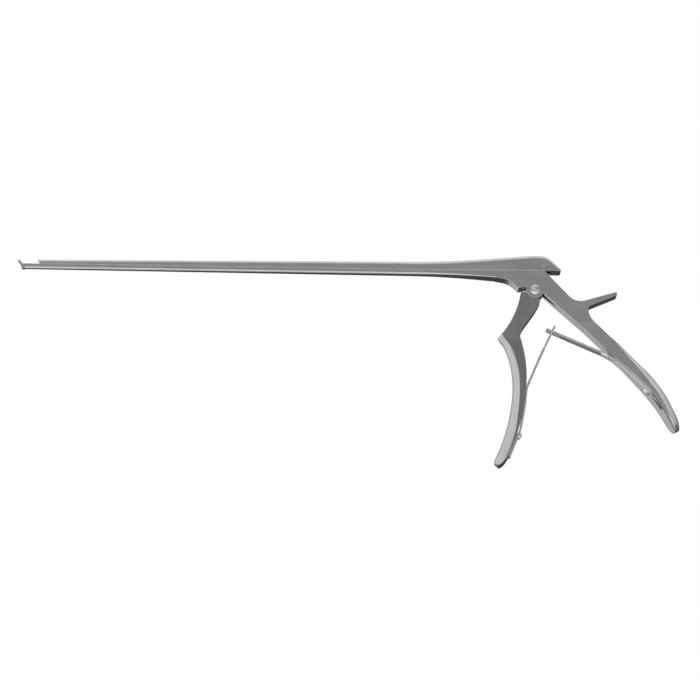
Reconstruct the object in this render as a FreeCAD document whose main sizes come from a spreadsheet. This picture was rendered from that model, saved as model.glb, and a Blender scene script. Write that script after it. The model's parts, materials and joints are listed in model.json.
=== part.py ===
import FreeCAD, Part
import math
import os
import Sketcher
from FreeCAD import Placement, Rotation, Vector

# Long-shaft bone punch, lying on its side. While it is built, the pivot axis is the origin, the jaw points
# along -X, the handles hang towards -Y and Z is the width. Every length is in millimetres.

# Driving sizes, kept on the sheet under these names
SIZES = {
    "jaw_reach": 279.5,  # pivot axis to the heel of the cutting nose, jaws open
    "jaw_travel": 9.8,  # stroke of the slide
    "jaw_closed_gap": 0.15,  # left between nose and footplate when shut
    "jaw_angle": 54.0,  # slope of nose and footplate from the shaft, in degrees
    "jaw_height": 2.8,  # slide above the sliding face at the nose
    "foot_thick": 1.25,
    "cup_radius": 0.95,  # hollow behind the cutting rim
    "cup_depth": 5.0,
    "split_height": 11.3,  # sliding face above the pivot axis
    "slide_gap": 0.04,  # between slide and sliding face
    "bar_depth": 2.65,  # lower shaft below the sliding face
    "bar_dip": 1.75,  # how far its underside drops on the way to the body
    "bar_round": 1.0,  # radius along its underside at the tip
    "bar_rear_round": 0.4,  # and at the body
    "tip_width": 3.4,
    "shaft_width": 5.3,  # where the shaft starts to flare into the body
    "body_width": 9.0,
    "slide_inset": 0.05,  # slide stands this far inside the shaft's sides
    "slide_round": 2.0,  # radius along the slide's top
    "slide_rise": 0.0107,  # slope of the slide's top along the shaft
    "slide_flare": 0.083,  # slope of its top over the body
    "flare_front": -75.0,  # the shaft widens from here
    "flare_rear": -8.0,  # to here
    "rise_front": -65.0,  # the slide's top bends up from here
    "rise_rear": -28.0,  # to here
    "body_front": -22.0,  # the lower shaft meets the body
    "horn_root": 31.5,  # the thumb horn narrows from here
    "horn_end": 48.0,  # to here
    "horn_tip_width": 7.4,
    "ear_radius": 5.0,
    "tongue_thick": 3.4,  # trigger between the ears
    "tongue_gap": 0.15,  # each side of the tongue
    "hub_radius": 4.9,
    "shoulder_gap": 0.3,  # between the trigger's shoulder and the ears
    "neck_half": 2.3,  # half the lever above the hub
    "fork_half": 2.8,  # half the lever at the fork
    "fork_room": 0.7,  # between the fork's end and its hollow in the slide
    "pin_above": 4.2,  # drive screw above the sliding face
    "pin_back": 5.1,  # drive screw behind the pivot axis, jaws open
    "pin_radius": 1.2,
    "pin_play": 0.12,  # between the drive screw and each side of the fork
    "pivot_radius": 1.75,
    "pivot_play": 0.05,
    "pivot_head_radius": 2.65,
    "pivot_head_depth": 1.4,  # how far its head is sunk in the ear
    "pivot_head_dome": 0.45,
    "drive_head_radius": 1.6,
    "drive_head_depth": 1.1,
    "drive_wall": 0.8,  # left beyond the drive screw's end
    "slot_width": 0.85,  # screwdriver slots
    "slot_depth": 0.95,
    "screw_play": 0.02,
    "rail_neck": 5.2,  # T-rail under the slide's rear end
    "rail_flange": 6.6,
    "rail_neck_high": 0.95,
    "rail_flange_high": 0.9,
    "rail_front": -12.0,
    "rail_rear": 2.0,
    "rail_play": 0.1,
    "rail_end_room": 1.0,  # groove left beyond the rail at full stroke
    "groove_rear": 20.0,  # the groove runs out through the body's back
    "tail_round": 1.9,  # corners of the slide's rear end, seen from above
    "key_neck": 1.1,  # T-key under the slide near the tip
    "key_flange": 2.0,
    "key_neck_high": 0.6,
    "key_flange_high": 0.6,
    "key_length": 12.0,
    "key_setback": 14.0,  # behind the heel of the nose
    "key_end_room": 0.5,
    "window_offset": 5.0,  # from the key to the window that lets it in
    "window_room": 1.0,  # window longer than the key
    "palm_width": 18.6,
    "grip_width": 16.0,
    "knuckle_proud": 0.04,  # grip wider than the arm where they meet
    "leaf_thick": 1.1,
    "leaf_width": 6.0,
    "leaf_tip_width": 5.0,
    "notch_width": 2.8,  # fork in the rear leaf's end
    "notch_length": 7.5,
    "prong_width": 2.0,  # narrow end of the front leaf
    "prong_length": 13.0,
    "front_seat_play": 0.05,  # beside the front leaf in its milled seat
    "rear_seat_play": 0.2,
    "seat_floor_play": 0.03,  # under each leaf
    "spring_screw_radius": 1.2,
    "spring_screw_depth": 2.6,
    "spring_head_radius": 2.1,
    "spring_head_rim": 0.7,
    "spring_head_dome": 0.6,
}

# Sizes that follow from the others
FOLLOWING = {
    "pin_height": "=split_height + pin_above",
    "tip_heel": "=-(jaw_reach + jaw_travel + jaw_closed_gap)",
    "key_front": "=key_setback - jaw_reach",
    "tongue_room": "=tongue_thick + 2 * tongue_gap",
    "slide_width": "=body_width - 2 * slide_inset",
}


def make_sheet(doc):
    """Write the sizes to the sheet and give their values by name."""
    sheet = doc.addObject("Spreadsheet::Sheet", "sizes")
    cells = list(SIZES.items()) + list(FOLLOWING.items())
    for row, (name, content) in enumerate(cells, start=1):
        sheet.set("A%d" % row, name)
        sheet.set("B%d" % row, str(content))
        sheet.setAlias("B%d" % row, name)
    doc.recompute()
    return {name: float(sheet.get(name)) for name, content in cells}


def bind(item, formulas):
    """Tie properties of one object to the sheet."""
    for path, formula in formulas.items():
        item.setExpression(path, formula)


def block(doc, name, x_low, x_high, y_low, y_high, width):
    """A block centred on the mid-plane, its sides given as formulas."""
    item = doc.addObject("Part::Box", name)
    bind(item, {
        "Placement.Base.x": x_low,
        "Placement.Base.y": y_low,
        "Placement.Base.z": "-(%s) / 2" % width,
        "Length": "(%s) - (%s)" % (x_high, x_low),
        "Width": "(%s) - (%s)" % (y_high, y_low),
        "Height": width,
    })
    return item


def rod(doc, name, x, y, radius, z_low, z_high):
    """A round bar across the instrument, its measures given as formulas."""
    item = doc.addObject("Part::Cylinder", name)
    bind(item, {
        "Placement.Base.x": x,
        "Placement.Base.y": y,
        "Placement.Base.z": z_low,
        "Radius": radius,
        "Height": "(%s) - (%s)" % (z_high, z_low),
    })
    return item


def solid(doc, name, shape):
    """A free-form solid."""
    item = doc.addObject("Part::Feature", name)
    item.Shape = shape
    return item


def join(doc, name, items):
    """Several solids as one."""
    item = doc.addObject("Part::MultiFuse", name)
    item.Shapes = items
    return item


def carve(doc, name, base, tools):
    """One solid less the given tools."""
    item = doc.addObject("Part::Cut", name)
    item.Base = base
    item.Tool = tools[0] if len(tools) == 1 else join(doc, name + "_tools", tools)
    return item


def corner(point, before, after, radius):
    """Start, middle and end of the arc that rounds one corner."""
    into = (before - point).normalize()
    out = (after - point).normalize()
    half = into.getAngle(out) / 2
    centre = point + (into + out).normalize() * (radius / math.sin(half))
    middle = centre + (point - centre).normalize() * radius
    reach = radius / math.tan(half)
    return point + into * reach, middle, point + out * reach


def rounded_curves(corners):
    """Lines and arcs of a closed outline, from corners given as x, y, radius."""
    points = [Vector(x, y, 0) for x, y, radius in corners]
    count = len(points)
    bends = []
    for i, point in enumerate(points):
        radius = corners[i][2]
        if radius > 0:
            bends.append(corner(point, points[i - 1], points[(i + 1) % count], radius))
        else:
            bends.append((point, None, point))
    curves = []
    for i, (start, middle, end) in enumerate(bends):
        if middle is not None:
            curves.append(Part.Arc(start, middle, end))
        following = bends[(i + 1) % count][0]
        if (following - end).Length > 1e-6:
            curves.append(Part.LineSegment(end, following))
    return curves


def plate(corners, width):
    """A plate of the given outline, centred on the mid-plane."""
    face = Part.Face(Part.Wire([curve.toShape() for curve in rounded_curves(corners)]))
    face.translate(Vector(0, 0, -width / 2))
    return face.extrude(Vector(0, 0, width))


def smooth_step(low, high, share):
    """Ease from one value to another."""
    share = min(max(share, 0.0), 1.0)
    return low + (high - low) * share * share * (3 - 2 * share)


def shaft_half(v, x):
    """Half the shaft's width at x."""
    along = min((x - v["tip_heel"]) / (v["flare_front"] - v["tip_heel"]), 1.0)
    slim = v["tip_width"] + (v["shaft_width"] - v["tip_width"]) * along
    flare = (x - v["flare_front"]) / (v["flare_rear"] - v["flare_front"])
    return smooth_step(slim, v["body_width"], flare) / 2


def bar_bottom(v, x):
    """Height of the lower shaft's underside at x."""
    share = max(x - v["rise_front"], 0.0) / (v["body_front"] - v["rise_front"])
    return v["split_height"] - v["bar_depth"] - v["bar_dip"] * share * share


def slide_top(v, x):
    """Height of the slide's top at x: a straight rise, a gentle bend and a steeper rise."""
    bend = min(max(x, v["rise_front"]), v["rise_rear"]) - v["rise_front"]
    span = v["rise_rear"] - v["rise_front"]
    steeper = v["slide_flare"] - v["slide_rise"]
    height = v["split_height"] + v["jaw_height"] + v["slide_rise"] * (x + v["jaw_reach"])
    return height + steeper * (bend * bend / (2 * span) + max(x - v["rise_rear"], 0.0))


def rounded_section(x, flat, far, half, radius):
    """Outline across the shaft: one flat face, flat sides and a far face with rounded corners."""
    way = math.copysign(1.0, far - flat)
    inset = radius * (1 - math.sqrt(0.5))
    right = [
        Vector(x, flat, half),
        Vector(x, far - way * radius, half),
        Vector(x, far - way * inset, half - inset),
        Vector(x, far, half - radius),
    ]
    left = [Vector(p.x, p.y, -p.z) for p in right]
    return Part.Wire([
        Part.makeLine(right[0], right[1]),
        Part.Arc(right[1], right[2], right[3]).toShape(),
        Part.makeLine(right[3], left[3]),
        Part.Arc(left[3], left[2], left[1]).toShape(),
        Part.makeLine(left[1], left[0]),
        Part.makeLine(left[0], right[0]),
    ])


def flare_stations(v, rear, count):
    """Evenly spaced places along the flare, from its front to the given rear."""
    return [v["flare_front"] + (rear - v["flare_front"]) * i / count for i in range(count + 1)]


def bar_section(v, x):
    """Outline across the lower shaft at x."""
    share = (x - v["flare_front"]) / (v["body_front"] - v["flare_front"])
    radius = smooth_step(v["bar_round"], v["bar_rear_round"], share)
    return rounded_section(x, v["split_height"], bar_bottom(v, x), shaft_half(v, x), radius)


def bar_shapes(v):
    """Lower shaft from the heel of the footplate to the body: its slim part and its flare."""
    slim = [bar_section(v, x) for x in (v["tip_heel"] + 0.5, v["flare_front"])]
    flare = [bar_section(v, x) for x in flare_stations(v, v["body_front"], 7)]
    return Part.makeLoft(slim, True, True), Part.makeLoft(flare, True, False)


def foot_shape(v):
    """Upturned end of the lower jaw, with a round top."""
    heel, split = v["tip_heel"], v["split_height"]
    low, high = split - v["bar_depth"], split + v["jaw_height"]
    slope = math.radians(v["jaw_angle"])
    lean = v["jaw_height"] / math.tan(slope)
    thick = v["foot_thick"] / math.sin(slope)
    outline = [
        (heel + 1.2, low, 0),
        (heel + 1.2, split, 0),
        (heel, split, 0.3),
        (heel - lean, high, 0.25),
        (heel - lean - thick, high, 0.35),
        (heel - thick + 0.8, split - 1.2, 0.8),
        (heel - thick + 0.8, low, 0.6),
    ]
    half = v["tip_width"] / 2
    front = heel - lean - thick - 1
    dome = Part.makeCylinder(half, heel + 3 - front, Vector(front, high - half, 0), Vector(1, 0, 0))
    below = Part.makeBox(heel + 3 - front, high - half - low + 1, 2 * half, Vector(front, low - 1, -half))
    return plate(outline, v["tip_width"]).common(below.fuse(dome))


def body_shape(v):
    """Body plate with the lip, the thumb horn and the root of the palm handle."""
    start, end = palm_line(v)[0]
    outline = [
        (v["body_front"], v["split_height"], 0),
        (5.3, v["split_height"], 0.8),
        (22.95, -7.6, 9.0),
        (45.9, -0.35, 0.8),
        (46.4, -2.2, 0.8),
        (29.3, -9.5, 2.8),
        (30.75, -15.4, 6.0),
        (start + 4.96, end + 5.08, 0),
        (start, end, 0),
        (4.0, -1.37, 0),
        (-4.0, 1.75, 0),
        (-6.0, 1.65, 0),
        (-9.15, 0.75, 0.4),
        (-14.9, 5.75, 12.0),
        (v["body_front"], bar_bottom(v, v["body_front"]), 0),
    ]
    return plate(outline, v["body_width"] + 1).common(plan_shape(v))


def plan_shape(v):
    """What the body may fill, seen from above: the end of the flare, then flat sides and the horn's taper."""
    front, rear = v["body_front"], v["flare_rear"]
    half, tip_half = v["body_width"] / 2, v["horn_tip_width"] / 2
    flare = [Vector(x, 0, shaft_half(v, x)) for x in (front + (rear - front) * i / 4 for i in range(5))]
    sides = []
    for side in (1, -1):
        curve = Part.BSplineCurve()
        curve.interpolate([Vector(p.x, 0, side * p.z) for p in flare])
        sides.append(curve.toShape())
        sides.append(Part.makePolygon([
            Vector(rear, 0, side * half),
            Vector(v["horn_root"], 0, side * half),
            Vector(v["horn_end"], 0, side * tip_half),
        ]))
    ends = [
        Part.makeLine(Vector(front, 0, flare[0].z), Vector(front, 0, -flare[0].z)),
        Part.makeLine(Vector(v["horn_end"], 0, tip_half), Vector(v["horn_end"], 0, -tip_half)),
    ]
    edges = [edge for shape in sides + ends for edge in shape.Edges]
    face = Part.Face(Part.Wire(Part.__sortEdges__(edges)))
    reach = v["horn_end"] - v["body_front"]
    face.translate(Vector(0, -reach, 0))
    return face.extrude(Vector(0, 2 * reach, 0))


def palm_line(v):
    """Inner face of the palm handle in the side view, from its root."""
    return [(27.5, -22.45), (34.4, -29.2), (48.05, -42.75), (58.2, -52.85), (68.75, -65.8), (76.0, -80.9)]


def grip_line(v):
    """Rear face of the trigger's grip in the side view, from its knuckle."""
    return [(-8.3, -28.5), (-5.4, -42.5), (-5.1, -56.0), (-8.3, -76.8), (-13.3, -92.5), (-19.2, -103.0)]


# Each handle at shares of its length: how far it has widened, its depth, the height of its crown and the
# hollow of its inner face
PALM_PROFILE = {
    "widening": [(0.0, 0.0), (0.17, 0.01), (0.39, 0.36), (0.5, 0.66), (0.62, 0.93), (0.72, 1.0), (0.85, 1.0)],
    "depth": [(0.0, 7.1), (0.12, 7.4), (0.25, 8.15), (0.41, 7.85), (0.52, 7.8), (0.63, 7.4), (0.74, 6.75),
              (0.85, 5.75)],
    "crown": [(0.0, 0.15), (0.12, 0.5), (0.25, 1.5), (0.39, 2.8), (0.52, 3.9), (0.64, 4.8), (0.85, 4.8)],
    "hollow": [(0.0, 0.02), (0.15, 0.03), (0.3, 0.2), (0.45, 0.5), (0.6, 0.7), (0.85, 0.7)],
}
GRIP_PROFILE = {
    "widening": [(0.0, 0.0), (0.08, 0.06), (0.16, 0.22), (0.28, 0.46), (0.4, 0.64), (0.54, 0.8), (0.68, 0.93),
                 (0.8, 1.0), (0.88, 1.0)],
    "depth": [(0.0, 13.8), (0.063, 11.1), (0.126, 9.3), (0.189, 8.5), (0.25, 8.0), (0.4, 7.2), (0.54, 6.8),
              (0.68, 6.5), (0.8, 6.4), (0.88, 6.0)],
    "crown": [(0.0, 3.7), (0.25, 3.6), (0.4, 3.7), (0.54, 4.1), (0.68, 4.8), (0.8, 5.3), (0.88, 5.2)],
    "hollow": [(0.0, 0.02), (0.88, 0.02)],
}
# How many outlines a handle is drawn through before its end
HANDLE_STEPS = 14
# Angles of the outlines that round off its end, and how blunt the rounding is
END_ANGLES = (22.0, 40.0, 55.0, 67.0, 76.0)
BLUNTNESS = 0.6
# Share of a handle's length over which its outlines turn from a slanted first one to square across it
TURN_SHARE = 0.18


def eased(spots, share):
    """Value at a share along, eased through (share, value) spots without passing beyond them."""
    slopes = [(after[1] - before[1]) / (after[0] - before[0]) for before, after in zip(spots, spots[1:])]
    bends = [slopes[0]]
    for before, after in zip(slopes, slopes[1:]):
        bends.append(2 * before * after / (before + after) if before * after > 0 else 0.0)
    bends.append(slopes[-1])
    i = max(k for k in range(len(slopes)) if spots[k][0] <= share)
    span = spots[i + 1][0] - spots[i][0]
    t = (share - spots[i][0]) / span
    rise = 3 * t ** 2 - 2 * t ** 3
    bow = (t ** 3 - 2 * t ** 2 + t) * bends[i] + (t ** 3 - t ** 2) * bends[i + 1]
    return spots[i][1] * (1 - rise) + spots[i + 1][1] * rise + span * bow


def handle_section(inner, outward, width, depth, crown, hollow):
    """Outline across a handle: hollow on the inner side, crowned on the outer side."""
    across = Vector(0, 0, width / 2)
    shoulder = inner + outward * (depth - crown)
    return Part.Wire([
        Part.Arc(inner - across, inner + outward * hollow, inner + across).toShape(),
        Part.makeLine(inner + across, shoulder + across),
        Part.Arc(shoulder + across, inner + outward * depth, shoulder - across).toShape(),
        Part.makeLine(shoulder - across, inner - across),
    ])


def handle_shape(line, profile, narrow, wide, side, first_outward, tuck):
    """A handle along its inner line, crowned towards its outer side (+1 left, -1 right), with a round end.

    The tuck is the part of the end's thinning that comes off the inner side.
    """
    curve = Part.BSplineCurve()
    curve.interpolate([Vector(x, y, 0) for x, y in line])
    full = curve.length()
    last = profile["depth"][-1][0]
    rows = [(last * i / HANDLE_STEPS, 1.0) for i in range(HANDLE_STEPS + 1)]
    for angle in END_ANGLES:
        turn = math.radians(angle)
        rows.append((last + (1 - last) * math.sin(turn), math.cos(turn) ** BLUNTNESS))
    sections = []
    for share, taper in rows:
        body = {name: eased(spots, min(share, last)) for name, spots in profile.items()}
        place = curve.parameterAtDistance(full * share, curve.FirstParameter)
        along = curve.tangent(place)[0]
        outward = Vector(-along.y, along.x, 0) * side
        if first_outward and share < TURN_SHARE:
            square = share / TURN_SHARE
            outward = (first_outward * (1 - square) + outward * square).normalize()
        inner = curve.value(place) + outward * ((1 - taper) * body["depth"] * tuck)
        width = (narrow + (wide - narrow) * body["widening"]) * taper
        sections.append(handle_section(
            inner, outward, width, body["depth"] * taper, body["crown"] * taper, body["hollow"] * taper))
    return Part.makeLoft(sections, True, False)


# Centre line of each leaf spring from its foot's end to its tip, as x, y, bend radius, in a held and a free
# part; the side its handle lies on, the screw's distance from the foot's end, and how far the milled seat runs
# beyond the foot
LEAVES = {
    "front": {
        "held": [(-14.5, -96.4, 0), (-8.2, -80.8, 20), (-5.75, -67.5, 60), (-4.75, -56.5, 25)],
        "free": [(2.9, -38.2, 120), (11.3, -20.0, 0)],
        "side": 1,
        "screw": 13.6,
        "beyond": 0.3,
    },
    "rear": {
        "held": [(65.9, -59.8, 0), (42.0, -37.7, 30)],
        "free": [(6.4, -22.4, 0)],
        "side": -1,
        "screw": 4.5,
        "beyond": 8.5,
    },
}


def strip(line, low, high):
    """Corners of a strip that runs along a line, between two offsets to its left."""
    points = [Vector(x, y, 0) for x, y, radius in line]
    rows = []
    for offset in (low, high):
        row = []
        for i, point in enumerate(points):
            before = (point - points[max(i - 1, 0)])
            after = (points[min(i + 1, len(points) - 1)] - point)
            into = (before if i else after).normalize()
            out = (after if i + 1 < len(points) else into).normalize()
            turn = math.atan2(into.cross(out).z, into.dot(out))
            left = Vector(-into.y, into.x, 0)
            place = point + left * offset - into * (offset * math.tan(turn / 2))
            radius = line[i][2] - math.copysign(offset, turn) if line[i][2] else 0
            row.append((place.x, place.y, radius))
        rows.append(row)
    return rows[0] + rows[1][::-1]


def seat_shape(v, which):
    """Room for a leaf spring's foot in its handle."""
    leaf = LEAVES[which]
    side = leaf["side"]
    line = list(leaf["held"])
    start, following = Vector(*line[0][:2], 0), Vector(*line[1][:2], 0)
    start += (start - following).normalize() * leaf["beyond"]
    line[0] = (start.x, start.y, 0)
    last, before = Vector(*line[-1][:2], 0), Vector(*line[-2][:2], 0)
    last += (last - before).normalize() * 6
    line[-1] = (last.x, last.y, 0)
    floor = side * (v["leaf_thick"] / 2 + v["seat_floor_play"])
    return plate(strip(line, floor, -side * 7.0), v["leaf_width"] + 2 * v[which + "_seat_play"])


def screw_place(v, which):
    """Placement of a spring screw: its seat on the leaf's outer face, its head pointing away."""
    leaf = LEAVES[which]
    start, following = Vector(*leaf["held"][0][:2], 0), Vector(*leaf["held"][1][:2], 0)
    along = (following - start).normalize()
    away = Vector(along.y, -along.x, 0) * leaf["side"]
    place = start + along * leaf["screw"] + away * (v["leaf_thick"] / 2)
    return Placement(place, Rotation(Vector(0, 0, 1), away))


def screw_hole(doc, name, which, v):
    """Hole for a spring screw through the leaf and into the handle."""
    item = doc.addObject("Part::Cylinder", name)
    bind(item, {
        "Radius": "sizes.spring_screw_radius + sizes.screw_play",
        "Height": "sizes.spring_screw_depth + sizes.leaf_thick + 2",
    })
    depth = v["spring_screw_depth"] + v["leaf_thick"]
    item.Placement = screw_place(v, which) * Placement(Vector(0, 0, -depth), Rotation())
    return item


def groove(doc, name, prefix, x_low, x_high):
    """T-shaped groove below the sliding face, as two tools."""
    top = "sizes.split_height"
    neck = "%s - sizes.%s_neck_high" % (top, prefix)
    flange = "%s - sizes.%s_flange_high" % (neck, prefix)
    play = "sizes.rail_play"
    return [
        block(doc, name + "_neck", x_low, x_high, "%s - %s" % (neck, play), "%s + 1" % top,
              "sizes.%s_neck + 2 * %s" % (prefix, play)),
        block(doc, name + "_flange", x_low, x_high, "%s - %s" % (flange, play), "%s + %s" % (neck, play),
              "sizes.%s_flange + 2 * %s" % (prefix, play)),
    ]


def tee(doc, name, prefix, x_low, x_high):
    """T-shaped rail hanging from the slide, as two blocks."""
    top = "sizes.split_height"
    neck = "%s - sizes.%s_neck_high" % (top, prefix)
    flange = "%s - sizes.%s_flange_high" % (neck, prefix)
    return [
        block(doc, name + "_neck", x_low, x_high, neck, "%s + 0.5" % top, "sizes.%s_neck" % prefix),
        block(doc, name + "_flange", x_low, x_high, flange, neck, "sizes.%s_flange" % prefix),
    ]


def lever_slot_shape(v):
    """Room for the trigger between the ears and up through the body."""
    top = v["split_height"] + 1
    outline = [
        (-6.6, top, 0),
        (-5.5, 4.0, 0),
        (-5.5, -8.0, 0),
        (10.2, -10.0, 0),
        (11.9, -8.1, 0),
        (5.5, 2.5, 2.0),
        (5.7, 6.0, 2.0),
        (7.6, top, 0),
    ]
    return plate(outline, v["tongue_room"])


def make_frame(doc, v):
    """Lower jaw, shaft, body with ears, thumb horn and palm handle: one forging."""
    half = "sizes.body_width / 2"
    slim, flare = bar_shapes(v)
    blank = join(doc, "frame_blank", [
        solid(doc, "frame_bar", slim),
        solid(doc, "frame_flare", flare),
        solid(doc, "frame_foot", foot_shape(v)),
        solid(doc, "frame_body", body_shape(v)),
        rod(doc, "frame_ear", "0", "0", "sizes.ear_radius", "-" + half, half),
        solid(doc, "frame_palm", handle_shape(
            palm_line(v), PALM_PROFILE, v["body_width"], v["palm_width"], 1, None, 0.45)),
    ])
    key_rear = "sizes.key_front + sizes.key_length"
    window_front = key_rear + " + sizes.window_offset"
    window_rear = window_front + " + sizes.key_length + sizes.window_room"
    key_floor = "sizes.split_height - sizes.key_neck_high - sizes.key_flange_high - sizes.rail_play"
    tools = [
        solid(doc, "frame_lever_slot", lever_slot_shape(v)),
        block(doc, "frame_key_window", window_front, window_rear, key_floor, "sizes.split_height + 1",
              "sizes.key_flange + 2 * sizes.rail_play"),
        rod(doc, "frame_pivot_bore", "0", "0", "sizes.pivot_radius + sizes.screw_play", "-%s - 1" % half, half),
        rod(doc, "frame_pivot_seat", "0", "0", "sizes.pivot_head_radius + sizes.screw_play",
            "%s - sizes.pivot_head_depth - sizes.screw_play" % half, half + " + 1"),
        solid(doc, "frame_leaf_seat", seat_shape(v, "rear")),
        screw_hole(doc, "frame_leaf_screw_hole", "rear", v),
    ]
    tools += groove(doc, "frame_rail_groove", "rail",
                    "sizes.rail_front - sizes.jaw_travel - sizes.rail_end_room", "sizes.groove_rear")
    tools += groove(doc, "frame_key_groove", "key",
                    "sizes.key_front - sizes.jaw_travel - sizes.key_end_room", window_front + " + 1")
    return carve(doc, "frame", blank, tools)


def slide_section(v, x, top):
    """Outline across the slide at x."""
    low = v["split_height"] + v["slide_gap"]
    half = shaft_half(v, x) - v["slide_inset"]
    radius = min(v["slide_round"], 0.93 * half, 0.8 * (top - low))
    return rounded_section(x, low, top, half, radius)


def slide_nose_shape(v):
    """Slim front of the slide, cut off at the slope of the jaw."""
    slope = math.radians(v["jaw_angle"])
    split = v["split_height"]
    nose = -v["jaw_reach"] - (v["jaw_height"] + 1) / math.tan(slope)
    sections = [slide_section(v, x, slide_top(v, x)) for x in (nose, v["flare_front"])]
    blank = Part.makeLoft(sections, True, True)
    heel = Vector(-v["jaw_reach"], split, -5)
    lean = Vector(-math.cos(slope), math.sin(slope), 0)
    ahead = Vector(-20, 0, 0)
    face = Part.Face(Part.makePolygon([
        heel - lean * 5, heel + lean * 10, heel + lean * 10 + ahead, heel - lean * 5 + ahead, heel - lean * 5]))
    return blank.cut(face.extrude(Vector(0, 0, 10)))


def slide_rear_shape(v):
    """Flared rear of the slide, over its peak and down its rear slope."""
    split = v["split_height"]
    stations = [(x, slide_top(v, x)) for x in flare_stations(v, -2.0, 11)]
    stations += [(2.0, split + 9.1), (4.6, split + 8.95), (7.0, split + 8.15), (9.5, split + 6.3),
                 (12.0, split + 4.0), (14.0, split + 1.9), (14.7, split + 1.1)]
    blank = Part.makeLoft([slide_section(v, x, top) for x, top in stations], True, False)
    front, rear, half = stations[0][0] - 1, stations[-1][0] + 0.12, v["slide_width"] / 2 + 0.12
    return blank.common(rounded_end_shape(v, front, rear, half))


def rounded_end_shape(v, front, rear, half):
    """Tall block, its rear corners rounded as seen from above, that a solid's end is trimmed to."""
    corners = [(front, -half, 0), (rear, -half, v["tail_round"]), (rear, half, v["tail_round"]), (front, half, 0)]
    face = Part.Face(Part.Wire([curve.toShape() for curve in rounded_curves(corners)]))
    face.rotate(Vector(0, 0, 0), Vector(1, 0, 0), 90)
    high = 3 * v["split_height"]
    return face.extrude(Vector(0, high, 0))


def fork_hollow_shape(v):
    """Hollow in the slide that the trigger's fork swings in."""
    x, y = v["pin_back"], v["pin_height"]
    radius = math.hypot(v["fork_half"], v["pin_radius"]) + v["fork_room"]
    foot = v["split_height"] - v["rail_neck_high"] - v["rail_flange_high"] - 1
    flare = radius + 0.27 * (y - foot)
    outline = [(x - radius, y, 0), (x - flare, foot, 0), (x + flare, foot, 0), (x + radius, y, 0)]
    dome = Part.makeCylinder(radius, v["tongue_room"], Vector(x, y, -v["tongue_room"] / 2))
    return plate(outline, v["tongue_room"]).fuse(dome)


def make_slide(doc, v):
    """Upper shaft with the cutting nose, a T-key near the tip and a T-rail under its rear end."""
    half = "sizes.slide_width / 2"
    key_rear = "sizes.key_front + sizes.key_length"
    parts = [solid(doc, "slide_nose", slide_nose_shape(v)), solid(doc, "slide_rear", slide_rear_shape(v))]
    parts += tee(doc, "slide_key", "key", "sizes.key_front", key_rear)
    parts += tee(doc, "slide_rail", "rail", "sizes.rail_front", "sizes.rail_rear")
    cup = doc.addObject("Part::Cylinder", "slide_cup")
    cup.Placement = Placement(Vector(0, 0, 0), Rotation(Vector(0, 0, 1), Vector(1, 0, 0)))
    bind(cup, {
        "Placement.Base.x": "-sizes.jaw_reach - 10",
        "Placement.Base.y": "sizes.split_height + sizes.jaw_height / 2 + 0.05",
        "Radius": "sizes.cup_radius",
        "Height": "sizes.cup_depth + 10",
    })
    tools = [
        cup,
        solid(doc, "slide_fork_hollow", fork_hollow_shape(v)),
        rod(doc, "slide_drive_bore", "sizes.pin_back", "sizes.pin_height", "sizes.pin_radius + sizes.screw_play",
            "sizes.drive_wall - %s" % half, half),
        rod(doc, "slide_drive_seat", "sizes.pin_back", "sizes.pin_height",
            "sizes.drive_head_radius + sizes.screw_play",
            "%s - sizes.drive_head_depth - sizes.screw_play" % half, half + " + 1"),
    ]
    return carve(doc, "slide", join(doc, "slide_blank", parts), tools)


def lever_shape(v):
    """Neck and fork of the trigger, leaning back to the drive screw."""
    reach = math.hypot(v["pin_back"], v["pin_height"])
    lean = math.degrees(math.atan2(v["pin_back"], v["pin_height"]))
    tip = reach + v["pin_radius"]
    neck, fork = v["neck_half"], v["fork_half"]
    outline = [
        (-neck, 0, 0),
        (neck, 0, 0),
        (neck, reach - 5.0, 3.0),
        (fork, reach - 3.0, 2.0),
        (fork, tip, 0.7),
        (-fork, tip, 0.7),
        (-fork, reach - 3.0, 2.0),
        (-neck, reach - 5.0, 3.0),
    ]
    lever = plate(outline, v["tongue_thick"])
    half = v["pin_radius"] + v["pin_play"]
    root = v["pin_height"] - v["pin_play"] - 0.4
    mouth = [(-half, root, 0), (half, root, 0), (half, tip + 1, 0), (-half, tip + 1, 0)]
    lever = lever.cut([
        plate(mouth, v["tongue_thick"] + 1),
        Part.makeCylinder(half, v["tongue_thick"] + 1, Vector(0, root, -v["tongue_thick"] / 2 - 0.5)),
    ])
    lever.rotate(Vector(0, 0, 0), Vector(0, 0, 1), -lean)
    return lever


# Where the front of the arm meets the crown of the grip, and the cusp in front of it
BROW = Vector(-18.2, -25.65, 0)
CUSP = Vector(-20.6, -28.1, 0)
# How far the arm runs into the grip, at its rear and at its front
REAR_OVERLAP = Vector(0, -1.3, 0)
FRONT_OVERLAP = Vector(-0.7, -1.05, 0)


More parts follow.
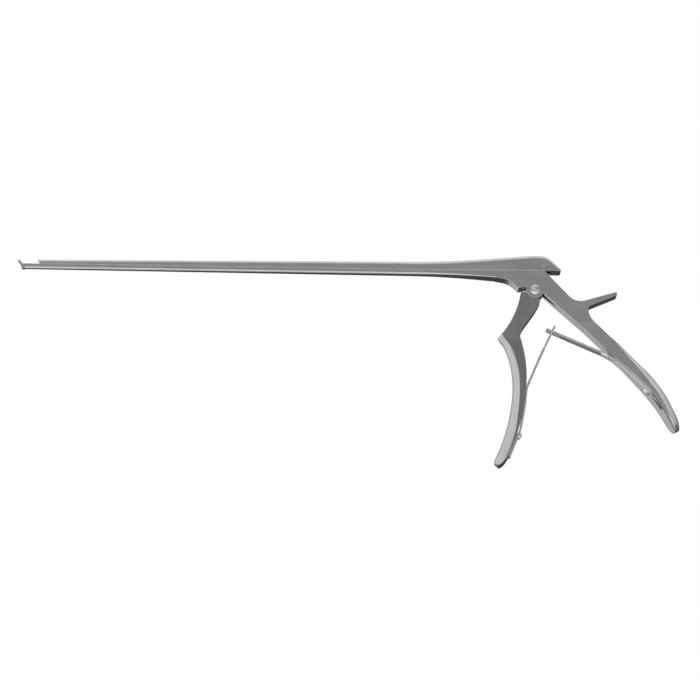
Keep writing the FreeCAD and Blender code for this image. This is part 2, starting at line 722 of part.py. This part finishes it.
def arm_shape(v):
    """Full-width upper arm of the trigger, from the ears down to its knuckle."""
    half = v["body_width"] / 2
    knuckle = Vector(*grip_line(v)[0], 0) + REAR_OVERLAP
    brow = BROW + FRONT_OVERLAP
    shoulder, back = Vector(-7.9, -1.5, 0), Vector(2.85, -7.0, 0)
    waist, bend = Vector(-1.9, -15.1, 0), Vector(-6.1, -21.1, 0)
    edges = [
        Part.makeLine(shoulder, Vector(-3.0, -1.5, 0)),
        Part.makeLine(Vector(-3.0, -1.5, 0), Vector(1.4, -3.4, 0)),
        Part.makeLine(Vector(1.4, -3.4, 0), back),
        Part.Arc(back, Vector(0.75, -11.0, 0), waist).toShape(),
        Part.makeLine(waist, bend),
        Part.Arc(bend, Vector(-7.84, -24.77, 0), knuckle).toShape(),
        Part.makeLine(knuckle, brow),
        Part.Arc(brow, Vector(-11.2, -13.6, 0), shoulder).toShape(),
    ]
    face = Part.Face(Part.Wire(edges))
    face.translate(Vector(0, 0, -half))
    room = v["ear_radius"] + v["shoulder_gap"]
    ears = Part.makeCylinder(room, v["body_width"] + 2, Vector(0, 0, -half - 1))
    return face.extrude(Vector(0, 0, v["body_width"])).cut(ears)


def web_shape(v):
    """Tongue that ties the hub to the arm."""
    return plate([(-3.6, -3.0, 0), (2.0, -3.0, 0), (0.5, -9.0, 0), (-7.0, -9.0, 0)], v["tongue_thick"])


def grip_shape(v):
    """Crowned lower part of the trigger, cut back along the front of its arm."""
    knuckle = Vector(*grip_line(v)[0], 0)
    narrow = v["body_width"] + v["knuckle_proud"]
    grip = handle_shape(
        grip_line(v), GRIP_PROFILE, narrow, v["grip_width"], -1, (BROW - knuckle).normalize(), 0.55)
    along = (BROW - CUSP).normalize() * 15
    beyond = Vector(-along.y, along.x, 0)
    face = Part.Face(Part.makePolygon([
        CUSP - along, BROW + along, BROW + along + beyond, CUSP - along + beyond, CUSP - along]))
    face.translate(Vector(0, 0, -v["body_width"]))
    return grip.cut(face.extrude(Vector(0, 0, 2 * v["body_width"])))


def make_trigger(doc, v):
    """Finger lever: fork, hub, upper arm and crowned grip."""
    half = "sizes.tongue_thick / 2"
    blank = join(doc, "trigger_blank", [
        rod(doc, "trigger_hub", "0", "0", "sizes.hub_radius", "-" + half, half),
        solid(doc, "trigger_lever", lever_shape(v)),
        solid(doc, "trigger_web", web_shape(v)),
        solid(doc, "trigger_arm", arm_shape(v)),
        solid(doc, "trigger_grip", grip_shape(v)),
    ])
    return carve(doc, "trigger", blank, [
        rod(doc, "trigger_bore", "0", "0", "sizes.pivot_radius + sizes.pivot_play",
            "-%s - 1" % half, half + " + 1"),
        solid(doc, "trigger_leaf_seat", seat_shape(v, "front")),
        screw_hole(doc, "trigger_leaf_screw_hole", "front", v),
    ])


def new_sketch(body, name, role):
    """A sketch on one of the body's own planes."""
    sketch = body.newObject("Sketcher::SketchObject", name)
    sketch.AttachmentSupport = [(next(f for f in body.Origin.OriginFeatures if f.Role == role), "")]
    sketch.MapMode = "FlatFace"
    return sketch


def hold_point(sketch, geometry, end, x, y):
    """Fix one point of a sketch to a place given as formulas."""
    for kind, formula in (("DistanceX", x), ("DistanceY", y)):
        value = float(sketch.evalExpression(formula))
        index = sketch.addConstraint(Sketcher.Constraint(kind, -1, 1, geometry, end, value))
        sketch.setExpression("Constraints[%d]" % index, formula)


def add_polygon(sketch, corners):
    """A closed polygon whose corners follow formulas."""
    spots = [Vector(float(sketch.evalExpression(x)), float(sketch.evalExpression(y)), 0) for x, y in corners]
    first = sketch.GeometryCount
    count = len(spots)
    for i in range(count):
        sketch.addGeometry(Part.LineSegment(spots[i], spots[(i + 1) % count]), False)
    for i in range(count):
        sketch.addConstraint(Sketcher.Constraint("Coincident", first + i, 2, first + (i + 1) % count, 1))
    for i, (x, y) in enumerate(corners):
        hold_point(sketch, first + i, 1, x, y)


def make_screw(doc, name, radius, foot, seat, head_radius, rim, dome, slot_turn):
    """A slotted screw along Z: shank from foot to seat, head up to its rim and dome."""
    body = doc.addObject("PartDesign::Body", name)
    profile = new_sketch(body, name + "_profile", "XZ_Plane")
    corners = [("0", foot), (radius, foot), (radius, seat), (head_radius, seat), (head_radius, rim)]
    spots = [Vector(float(body.evalExpression(x)), float(body.evalExpression(y)), 0) for x, y in corners]
    rim_spot, top = spots[-1], Vector(0, float(body.evalExpression(rim + " + " + dome)), 0)
    for start, end in zip(spots, spots[1:]):
        profile.addGeometry(Part.LineSegment(start, end), False)
    rise, reach = top.y - rim_spot.y, rim_spot.x
    bow = (reach * reach + rise * rise) / (2 * rise)
    circle = Part.Circle(Vector(0, top.y - bow, 0), Vector(0, 0, 1), bow)
    low_angle = math.atan2(rim_spot.y - top.y + bow, reach)
    profile.addGeometry(Part.ArcOfCircle(circle, low_angle, math.pi / 2), False)
    profile.addGeometry(Part.LineSegment(top, spots[0]), False)
    arc = len(spots) - 1
    for i in range(arc + 2):
        profile.addConstraint(Sketcher.Constraint("Coincident", i, 2, (i + 1) % (arc + 2), 1))
    for i, (x, y) in enumerate(corners):
        hold_point(profile, i, 1, x, y)
    hold_point(profile, arc + 1, 1, "0", rim + " + " + dome)
    profile.addConstraint(Sketcher.Constraint("PointOnObject", arc, 3, -2))
    turned = body.newObject("PartDesign::Revolution", name + "_turned")
    turned.Profile = profile
    turned.ReferenceAxis = (profile, ["V_Axis"])
    turned.Angle = 360
    slot = new_sketch(body, name + "_slot", "XY_Plane")
    bind(slot, {"AttachmentOffset.Base.z": rim + " + " + dome})
    wide = "sizes.slot_width / 2"
    long = head_radius + " + 0.5"
    add_polygon(slot, [("-(%s)" % long, "-" + wide), (long, "-" + wide), (long, wide), ("-(%s)" % long, wide)])
    milled = body.newObject("PartDesign::Pocket", name + "_milled")
    milled.Profile = slot
    bind(milled, {"Length": "sizes.slot_depth"})
    body.Tip = milled
    doc.recompute()
    if milled.Shape.Volume > turned.Shape.Volume - 0.1:
        raise ValueError("the slot of %s cuts nothing" % name)
    body.Placement = Placement(Vector(0, 0, 0), Rotation(Vector(0, 0, 1), slot_turn))
    return body


def make_leaf(doc, v, which, plane, trims):
    """A leaf spring: its bent strip, then what is trimmed off its free end, seen square to a plane."""
    name = which + "_leaf"
    body = doc.addObject("PartDesign::Body", name)
    outline = new_sketch(body, name + "_outline", "XY_Plane")
    half = v["leaf_thick"] / 2
    for curve in rounded_curves(strip(LEAVES[which]["held"] + LEAVES[which]["free"], -half, half)):
        index = outline.addGeometry(curve, False)
        outline.addConstraint(Sketcher.Constraint("Block", index))
    bent = body.newObject("PartDesign::Pad", name + "_bent")
    bent.Profile = outline
    bent.SideType = "Symmetric"
    bind(bent, {"Length": "sizes.leaf_width"})
    trim = new_sketch(body, name + "_trim", plane)
    for corners in trims:
        add_polygon(trim, corners)
    trimmed = body.newObject("PartDesign::Pocket", name + "_trimmed")
    trimmed.Profile = trim
    trimmed.Type = "ThroughAll"
    trimmed.SideType = "Symmetric"
    body.Tip = trimmed
    doc.recompute()
    before, after = bent.Shape.Volume, trimmed.Shape.Volume
    if after > before - 1:
        raise ValueError("the trim of %s cuts nothing" % name)
    return carve(doc, which + "_leaf_spring", body, [screw_hole(doc, name + "_screw_hole", which, v)])


def front_trims(v):
    """What leaves the front leaf's narrow end, as distances along Y and Z."""
    (low_x, low, bend), (tip_x, tip, end) = LEAVES["front"]["free"]
    step = tip - v["prong_length"] * (tip - low) / math.hypot(tip_x - low_x, tip - low)
    root = "%g" % LEAVES["front"]["held"][-1][1]
    clear = "%g + 2 * sizes.leaf_thick" % tip
    trims = []
    for sign in ("", "-"):
        outer = sign + "sizes.leaf_width"
        trims.append([
            (root, outer),
            (root, "%ssizes.leaf_width / 2" % sign),
            ("%g - 2 * sizes.leaf_thick" % step, "%ssizes.leaf_tip_width / 2" % sign),
            ("%g" % step, "%ssizes.prong_width / 2" % sign),
            (clear, "%ssizes.prong_width / 2" % sign),
            (clear, outer),
        ])
    return trims


def rear_trims():
    """What leaves the rear leaf's taper and notch, as distances along X and Z."""
    tip = "%g" % LEAVES["rear"]["free"][-1][0]
    root = "%g" % LEAVES["rear"]["held"][-1][0]
    clear = tip + " - 2 * sizes.leaf_thick"
    notch, notch_root = "sizes.notch_width / 2", tip + " + sizes.notch_length"
    trims = [[(clear, "-" + notch), (notch_root, "-" + notch), (notch_root, notch), (clear, notch)]]
    for sign in ("", "-"):
        outer = sign + "sizes.leaf_width"
        trims.append([
            (root, outer),
            (root, "%ssizes.leaf_width / 2" % sign),
            (clear, "%ssizes.leaf_tip_width / 2" % sign),
            (clear, outer),
        ])
    return trims


# Turn of each screw's slot when it is tight, in degrees
SLOT_TURNS = {"pivot": -20.0, "drive": -50.0, "spring": 25.0}


def make_screws(doc, v):
    """The four screws, each with its place."""
    pivot = make_screw(
        doc, "pivot_screw", "sizes.pivot_radius", "-sizes.body_width / 2",
        "sizes.body_width / 2 - sizes.pivot_head_depth", "sizes.pivot_head_radius", "sizes.body_width / 2",
        "sizes.pivot_head_dome", SLOT_TURNS["pivot"])
    drive = make_screw(
        doc, "drive_screw", "sizes.pin_radius", "sizes.drive_wall + 0.1 - sizes.slide_width / 2",
        "sizes.slide_width / 2 - sizes.drive_head_depth", "sizes.drive_head_radius",
        "sizes.slide_width / 2 - 0.1", "0.08", SLOT_TURNS["drive"])
    drive.Placement = Placement(Vector(v["pin_back"], v["pin_height"], 0), drive.Placement.Rotation)
    screws = [pivot, drive]
    for which in LEAVES:
        screw = make_screw(
            doc, which + "_spring_screw", "sizes.spring_screw_radius",
            "0.3 - sizes.spring_screw_depth - sizes.leaf_thick", "0", "sizes.spring_head_radius",
            "sizes.spring_head_rim", "sizes.spring_head_dome", SLOT_TURNS["spring"])
        screw.Placement = screw_place(v, which) * screw.Placement
        screws.append(screw)
    return screws


def check(doc, pieces):
    """Stop if any object failed or any piece is empty or broken."""
    for item in doc.Objects:
        if "Invalid" in item.State or "Error" in item.State:
            raise ValueError("%s failed: %s" % (item.Name, item.State))
    for piece in pieces:
        if piece.Shape.isNull() or not piece.Shape.isValid() or not piece.Shape.Solids:
            raise ValueError("%s is not a sound solid" % piece.Name)


def main():
    doc = FreeCAD.newDocument("bone_punch")
    v = make_sheet(doc)
    pieces = [
        make_frame(doc, v),
        make_slide(doc, v),
        make_trigger(doc, v),
        make_leaf(doc, v, "front", "YZ_Plane", front_trims(v)),
        make_leaf(doc, v, "rear", "XZ_Plane", rear_trims()),
    ]
    pieces += make_screws(doc, v)
    doc.recompute()
    check(doc, pieces)

    # The finished instrument stands with the middle of its underside at the origin
    whole = FreeCAD.BoundBox()
    for piece in pieces:
        whole.add(piece.Shape.optimalBoundingBox(False, False))
    shift = Placement(Vector(-whole.Center.x, -whole.Center.y, -whole.ZMin), Rotation())
    for piece in pieces:
        piece.Label = piece.Name
        piece.Placement = shift * piece.Placement
    doc.recompute()
    check(doc, pieces)

    os.makedirs("parts", exist_ok=True)
    for piece in pieces:
        piece.Shape.exportStep("parts/%s.step" % piece.Label)
    print("pivot axis at x %.3f y %.3f, mid-plane at z %.3f" % tuple(shift.Base))
    print("whole: %.2f x %.2f x %.2f" % (whole.XLength, whole.YLength, whole.ZLength))


main()
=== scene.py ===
import json
import math

import bmesh
import bpy
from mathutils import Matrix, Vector


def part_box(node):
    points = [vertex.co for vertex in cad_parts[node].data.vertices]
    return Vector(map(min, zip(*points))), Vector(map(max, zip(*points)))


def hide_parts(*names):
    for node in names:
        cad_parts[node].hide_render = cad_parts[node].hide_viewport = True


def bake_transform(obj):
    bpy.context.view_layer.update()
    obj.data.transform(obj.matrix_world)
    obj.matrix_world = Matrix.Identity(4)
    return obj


# Looks of a long-shaft bone punch in satin and polished stainless steel. Lengths are in metres, and in
# millimetres where a name ends in mm. The millimetre places are given from the trigger's pivot axis.

MM = 0.001

# Colours of the steels: the shaft and palm handle, the screws and leaves, and the trigger. The trigger's is
# the same steel darkened as painted shade.
SATIN = (0.56, 0.545, 0.548)
BRIGHT = (0.7, 0.69, 0.692)
TRIGGER_PAINTED_SHADE = (0.39, 0.38, 0.373)

# Size along and across the ground grain, of one scratch and of one cloud in the gloss, and the detail in each
GRAIN = {"along": 9 * MM, "across": 0.16 * MM, "detail": 3.0}
CLOUD = {"along": 14 * MM, "across": 4 * MM, "detail": 2.0}
# Ranges of the noise that drive the whole of the gloss and of the tint
GLOSS_RANGE = (0.3, 0.7)
TINT_RANGE = (0.35, 0.65)
# The tint's two ends, as shares of the steel's colour
DARKER = 0.95
LIGHTER = 1.04
EDGE_SAMPLES = 6

# Brightness of the room round the shaft, by degrees from straight up, positive towards the shaft's top
ROOM_BANDS = [
    (-180, 0.3), (-150, 0.18), (-120, 0.4), (-90, 0.8), (-55, 0.95), (-20, 1.2), (-4, 0.95), (6, 0.45),
    (16, 0.43), (24, 0.32), (34, 0.4), (46, 0.8), (60, 1.1), (110, 1.1), (150, 0.6), (180, 0.3),
]
# The bands' colours are shares of this brightness
BRIGHTEST = 2.0
# How fast the bands change towards the palm handle's side of the room
CHANGE_ALONG = -0.3
# A wall beyond the jaw: its brightness, and the X parts of the directions where it is full and has faded out
WALL_BRIGHTNESS = 1.35
WALL_SPAN = (-0.85, -0.4)
# A floor: the Z parts of the directions where it is full and has faded out, and how it dims along X
FLOOR_SPAN = (-0.9, -0.7)
FLOOR_DIMMING = {"low": -0.28, "high": -0.17, "out_low": 0.65, "out_high": 0.07}

# The camera, with its tilt towards the shaft and its turn in the picture in degrees
SENSOR_WIDTH_MM = 36.0
FOCAL_LENGTH_MM = 119.4
CAMERA_PLACE_MM = (-96.906, -400.804, 1247.747)
CAMERA_TILT = 16.3
CAMERA_TURN = 1.02

# Where each leaf leaves its foot, and its tip
FRONT_SPAN_MM = ((-4.75, -56.5), (11.3, -20.0))
REAR_SPAN_MM = ((42.0, -37.7), (6.4, -22.4))
# Distance between the cuts across a leaf, and the distance at which two corners are the same
LEAF_STEP = 1.5 * MM
SAME_CORNER = 1e-6

# Sockets of the mix node that share their names with others: two numbers and two colours
NUMBER_A = 2
NUMBER_B = 3
COLOR_A = 6
COLOR_B = 7


def place(x_mm, y_mm, z_mm=0.0):
    """A place given from the pivot axis, in the part's frame."""
    return PIVOT + Vector((x_mm, y_mm, z_mm)) * MM


# Node helpers

def new_material(name):
    """An empty material, with its node tree."""
    material = bpy.data.materials.new(name)
    material.use_nodes = True
    material.node_tree.nodes.clear()
    return material, material.node_tree


def add(tree, kind, links=None, **values):
    """A node with its properties, its input values and the sockets that feed it."""
    node = tree.nodes.new(kind)
    for key, value in values.items():
        setattr(node, key, value)
    for socket, source in (links or {}).items():
        if isinstance(source, bpy.types.NodeSocket):
            tree.links.new(source, node.inputs[socket])
        else:
            node.inputs[socket].default_value = source
    return node


def stretched_noise(tree, coordinates, turn, along, across, detail):
    """Noise drawn out along the grain, which is turned from X by an angle in the side view."""
    turned = add(tree, "ShaderNodeMapping", {
        "Vector": coordinates,
        "Rotation": (0.0, 0.0, -turn),
    })
    squeezed = add(tree, "ShaderNodeMapping", {
        "Vector": turned.outputs["Vector"],
        "Scale": (1 / along, 1 / across, 1 / across),
    })
    noise = add(tree, "ShaderNodeTexNoise", {
        "Vector": squeezed.outputs["Vector"],
        "Scale": 1.0,
        "Detail": detail,
        "Roughness": 0.6,
    })
    return noise.outputs["Fac"]


def ramp(tree, source, low, high, out_low, out_high):
    """Map a number from one range to another, held at both ends."""
    node = add(tree, "ShaderNodeMapRange", {
        "Value": source,
        "From Min": low,
        "From Max": high,
        "To Min": out_low,
        "To Max": out_high,
    })
    return node.outputs["Result"]


def blend_values(tree, share, low, high):
    """A number between two others."""
    node = add(tree, "ShaderNodeMix", {0: share, NUMBER_A: low, NUMBER_B: high}, data_type="FLOAT")
    return node.outputs[0]


# Steels

def steel(name, color, roughness, spread, grain_turn, grain_depth, edge):
    """Stainless steel: a fine ground grain, cloudy gloss and slightly rounded edges."""
    material, tree = new_material(name)
    coordinates = add(tree, "ShaderNodeTexCoord").outputs["Object"]
    grain = stretched_noise(tree, coordinates, grain_turn, **GRAIN)
    cloud = stretched_noise(tree, coordinates, grain_turn, **CLOUD)
    half = add(tree, "ShaderNodeMath", {0: grain, 1: 0.5}, operation="MULTIPLY")
    mean = add(tree, "ShaderNodeMath", {0: cloud, 1: 0.5, 2: half.outputs[0]}, operation="MULTIPLY_ADD")
    rough = ramp(tree, mean.outputs[0], *GLOSS_RANGE, roughness - spread, roughness + spread)
    tint = add(tree, "ShaderNodeMix", {
        "Factor": ramp(tree, cloud, *TINT_RANGE, 0.0, 1.0),
        COLOR_A: tuple(DARKER * part for part in color) + (1.0,),
        COLOR_B: tuple(LIGHTER * part for part in color) + (1.0,),
    }, data_type="RGBA")
    edges = add(tree, "ShaderNodeBevel", {"Radius": edge}, samples=EDGE_SAMPLES)
    bump = add(tree, "ShaderNodeBump", {
        "Strength": 1.0,
        "Distance": grain_depth,
        "Height": grain,
        "Normal": edges.outputs["Normal"],
    })
    shader = add(tree, "ShaderNodeBsdfPrincipled", {
        "Base Color": tint.outputs[2],
        "Metallic": 1.0,
        "Roughness": rough,
        "Normal": bump.outputs["Normal"],
    })
    add(tree, "ShaderNodeOutputMaterial", {"Surface": shader.outputs["BSDF"]})
    return material


def dress(node, material):
    """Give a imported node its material."""
    data = frame["nodes"][node].data
    data.materials.clear()
    data.materials.append(material)


def dress_nodes():
    """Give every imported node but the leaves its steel."""
    shaft_steel = steel("shaft_steel", SATIN, roughness=0.2, spread=0.03, grain_turn=0.0,
                        grain_depth=0.001 * MM, edge=0.3 * MM)
    # The trigger gets the same steel in a darker colour, as painted shade
    trigger_painted_shade_steel = steel("trigger_painted_shade_steel", TRIGGER_PAINTED_SHADE, roughness=0.2, spread=0.03, grain_turn=math.radians(-80),
                         grain_depth=0.001 * MM, edge=0.18 * MM)
    screw_steel = steel("screw_steel", BRIGHT, roughness=0.12, spread=0.02, grain_turn=0.0,
                        grain_depth=0.0005 * MM, edge=0.1 * MM)
    dress("trigger", trigger_painted_shade_steel)
    for node in ("frame", "slide", "drive_screw"):
        dress(node, shaft_steel)
    for node in ("pivot_screw", "front_spring_screw", "rear_spring_screw"):
        dress(node, screw_steel)


# Leaf springs

def bent_leaf(name, node, span_mm):
    """A copy of a leaf's solid, cut across every few millimetres between its two given places."""
    source = frame["nodes"][node]
    item = bpy.data.objects.new(name, source.data.copy())
    item.data.materials.clear()
    bpy.context.scene.collection.objects.link(item)
    work = bmesh.new()
    work.from_mesh(item.data)
    bmesh.ops.remove_doubles(work, verts=work.verts[:], dist=SAME_CORNER)
    first, last = [place(*spot) for spot in span_mm]
    direction = (last - first).normalized()
    count = int((last - first).length / LEAF_STEP)
    for i in range(count + 1):
        bmesh.ops.bisect_plane(
            work, geom=work.verts[:] + work.edges[:] + work.faces[:],
            plane_co=first + direction * (i * LEAF_STEP), plane_no=direction)
    work.to_mesh(item.data)
    work.free()
    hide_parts(node)
    return item


def make_leaves():
    """Both leaf springs, each cut across between its foot on its handle and its tip at the crossing with the
    other.
    """
    leaf_steel = steel("leaf_steel", BRIGHT, roughness=0.3, spread=0.03, grain_turn=math.radians(-22),
                       grain_depth=0.001 * MM, edge=0.15 * MM)
    front = bent_leaf("front_leaf", "front_leaf_spring", FRONT_SPAN_MM)
    rear = bent_leaf("rear_leaf", "rear_leaf_spring", REAR_SPAN_MM)
    for leaf in (front, rear):
        leaf.data.materials.append(leaf_steel)
    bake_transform(front)
    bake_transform(rear)


# Room and camera

def band_brightness(tree, turn):
    """Brightness of the bands of light at an angle round the shaft."""
    share = ramp(tree, turn, -math.pi, math.pi, 0.0, 1.0)
    bands = add(tree, "ShaderNodeValToRGB", {"Fac": share})
    stops = bands.color_ramp.elements
    while len(stops) < len(ROOM_BANDS):
        stops.new(1.0)
    for stop, (degrees, brightness) in zip(stops, ROOM_BANDS):
        stop.position = (degrees + 180) / 360
        stop.color = (brightness / BRIGHTEST,) * 3 + (1.0,)
    scaled = add(tree, "ShaderNodeMath", {0: bands.outputs["Color"], 1: BRIGHTEST}, operation="MULTIPLY")
    return scaled.outputs[0]


def make_room():
    """Bands of light round the shaft, a pale wall beyond the jaw, a dim floor, and white for the camera."""
    world = bpy.data.worlds.new("room")
    bpy.context.scene.world = world
    world.use_nodes = True
    tree = world.node_tree
    tree.nodes.clear()
    direction = add(tree, "ShaderNodeTexCoord").outputs["Generated"]
    parts = add(tree, "ShaderNodeSeparateXYZ", {"Vector": direction})
    x, y, z = parts.outputs["X"], parts.outputs["Y"], parts.outputs["Z"]
    turn = add(tree, "ShaderNodeMath", {0: y, 1: z}, operation="ARCTAN2")
    around = band_brightness(tree, turn.outputs[0])
    change = add(tree, "ShaderNodeMath", {0: x, 1: CHANGE_ALONG, 2: 1.0}, operation="MULTIPLY_ADD")
    sides = add(tree, "ShaderNodeMath", {0: around, 1: change.outputs[0]}, operation="MULTIPLY")
    wall = ramp(tree, x, *WALL_SPAN, 1.0, 0.0)
    walled = blend_values(tree, wall, sides.outputs[0], WALL_BRIGHTNESS)
    floor = ramp(tree, x, **FLOOR_DIMMING)
    below = ramp(tree, z, *FLOOR_SPAN, 1.0, 0.0)
    room = blend_values(tree, below, walled, floor)
    seen = add(tree, "ShaderNodeLightPath").outputs["Is Camera Ray"]
    shown = blend_values(tree, seen, room, 1.0)
    background = add(tree, "ShaderNodeBackground", {"Color": (1.0, 1.0, 1.0, 1.0), "Strength": shown})
    add(tree, "ShaderNodeOutputWorld", {"Surface": background.outputs[0]})


def make_camera():
    """The photograph's view: from above, a little from the handles' side."""
    camera = bpy.data.cameras.new("camera")
    camera.sensor_width = SENSOR_WIDTH_MM
    camera.lens = FOCAL_LENGTH_MM
    item = bpy.data.objects.new("camera", camera)
    item.location = place(*CAMERA_PLACE_MM)
    item.rotation_euler = (math.radians(CAMERA_TILT), 0.0, math.radians(CAMERA_TURN))
    bpy.context.scene.collection.objects.link(item)
    bpy.context.scene.camera = item


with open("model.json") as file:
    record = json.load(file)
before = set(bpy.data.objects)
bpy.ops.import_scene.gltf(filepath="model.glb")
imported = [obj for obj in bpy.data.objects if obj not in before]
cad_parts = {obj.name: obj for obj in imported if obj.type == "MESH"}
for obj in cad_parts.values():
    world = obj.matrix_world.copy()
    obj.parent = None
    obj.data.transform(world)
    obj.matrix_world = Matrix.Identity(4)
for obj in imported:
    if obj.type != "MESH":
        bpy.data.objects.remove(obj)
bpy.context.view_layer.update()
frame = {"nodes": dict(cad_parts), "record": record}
swing = next(joint for joint in frame["record"]["behaviour"]["joints"] if joint["name"] == "trigger_swing")
PIVOT = Vector(swing["pos_m"])
# The places lie on the mid-plane of the frame
PIVOT.z = (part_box("frame")[0][2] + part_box("frame")[1][2]) / 2

make_camera()
make_room()
dress_nodes()
make_leaves()
bpy.context.scene.view_settings.view_transform = "Standard"
